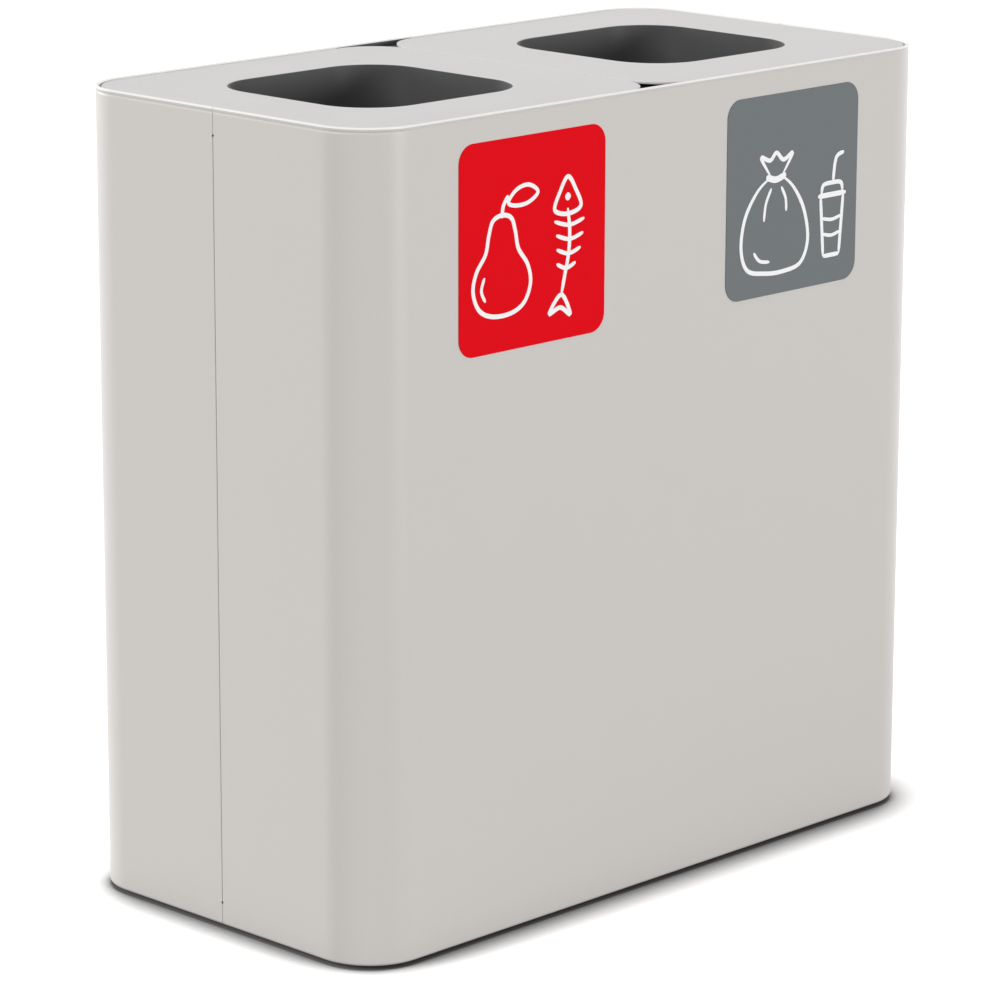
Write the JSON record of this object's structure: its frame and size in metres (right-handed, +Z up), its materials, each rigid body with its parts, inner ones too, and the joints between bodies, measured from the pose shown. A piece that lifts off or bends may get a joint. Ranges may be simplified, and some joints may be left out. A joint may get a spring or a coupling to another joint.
{
  "type": "double recycling bin",
  "caption": "Double recycling bin: a rounded steel cabinet with two lift-off lids, each with a square waste opening over a removable liner.",
  "frame": {"origin": "on the floor, at the middle of the footprint", "axes": "+Z up, +X along the width to the right as seen from the front; the front, with the labels, faces -Y"},
  "size_m": [0.6, 0.3057, 0.6],
  "materials": {
    "body_paint": "satin powder coat",
    "lid_paint": "satin powder coat",
    "dark_paint": "fine matt powder coat",
    "liner_plastic": "moulded polypropylene",
    "zinc_steel": "bright zinc plating",
    "rubber": "matt rubber",
    "red_film": "satin vinyl film",
    "grey_film": "satin vinyl film",
    "label_print": "white screen print"
  },
  "bodies": {
    "cabinet": {"front_shell": "body_paint", "rear_shell": "body_paint", "base_pan": "dark_paint", "foot_1": "rubber", "foot_2": "rubber", "foot_3": "rubber", "foot_4": "rubber", "pan_screw_1": "zinc_steel", "pan_screw_2": "zinc_steel", "pan_screw_3": "zinc_steel", "pan_screw_4": "zinc_steel", "seam_bolt_left_1": "zinc_steel", "seam_bolt_left_2": "zinc_steel", "seam_bolt_left_3": "zinc_steel", "seam_bolt_right_1": "zinc_steel", "seam_bolt_right_2": "zinc_steel", "seam_bolt_right_3": "zinc_steel", "seam_nut_left_1": "zinc_steel", "seam_nut_left_2": "zinc_steel", "seam_nut_left_3": "zinc_steel", "seam_nut_right_1": "zinc_steel", "seam_nut_right_2": "zinc_steel", "seam_nut_right_3": "zinc_steel", "side_rail_left": "body_paint", "side_rail_right": "body_paint", "lid_bridge": "dark_paint", "bridge_nut_1": "zinc_steel", "bridge_nut_2": "zinc_steel", "bridge_nut_3": "zinc_steel", "bridge_nut_4": "zinc_steel", "lid_pad_1": "rubber", "lid_pad_2": "rubber", "lid_pad_3": "rubber", "lid_pad_4": "rubber", "lid_pad_5": "rubber", "lid_pad_6": "rubber", "lid_pad_7": "rubber", "lid_pad_8": "rubber", "label_red": "red_film", "label_grey": "grey_film"},
    "liner_left": {"liner_left": "liner_plastic"},
    "bag_ring_left": {"bag_ring_left": "dark_paint"},
    "lid_left": {"lid_left": "lid_paint", "throat_left": "dark_paint", "throat_nut_left_1": "zinc_steel", "throat_nut_left_2": "zinc_steel", "throat_nut_left_3": "zinc_steel", "throat_nut_left_4": "zinc_steel"},
    "liner_right": {"liner_right": "liner_plastic"},
    "bag_ring_right": {"bag_ring_right": "dark_paint"},
    "lid_right": {"lid_right": "lid_paint", "throat_right": "dark_paint", "throat_nut_right_1": "zinc_steel", "throat_nut_right_2": "zinc_steel", "throat_nut_right_3": "zinc_steel", "throat_nut_right_4": "zinc_steel"}
  },
  "joints": [
    {"name": "liner_left_lift", "type": "slide", "parent": "cabinet", "child": "liner_left", "axis": [0, 0, 1], "range_m": [0, 0.6]},
    {"name": "bag_ring_left_lift", "type": "slide", "parent": "liner_left", "child": "bag_ring_left", "axis": [0, 0, 1], "range_m": [0, 0.06]},
    {"name": "lid_left_lift", "type": "slide", "parent": "bag_ring_left", "child": "lid_left", "axis": [0, 0, 1], "range_m": [0, 0.15]},
    {"name": "liner_right_lift", "type": "slide", "parent": "cabinet", "child": "liner_right", "axis": [0, 0, 1], "range_m": [0, 0.6]},
    {"name": "bag_ring_right_lift", "type": "slide", "parent": "liner_right", "child": "bag_ring_right", "axis": [0, 0, 1], "range_m": [0, 0.06]},
    {"name": "lid_right_lift", "type": "slide", "parent": "bag_ring_right", "child": "lid_right", "axis": [0, 0, 1], "range_m": [0, 0.15]}
  ]
}
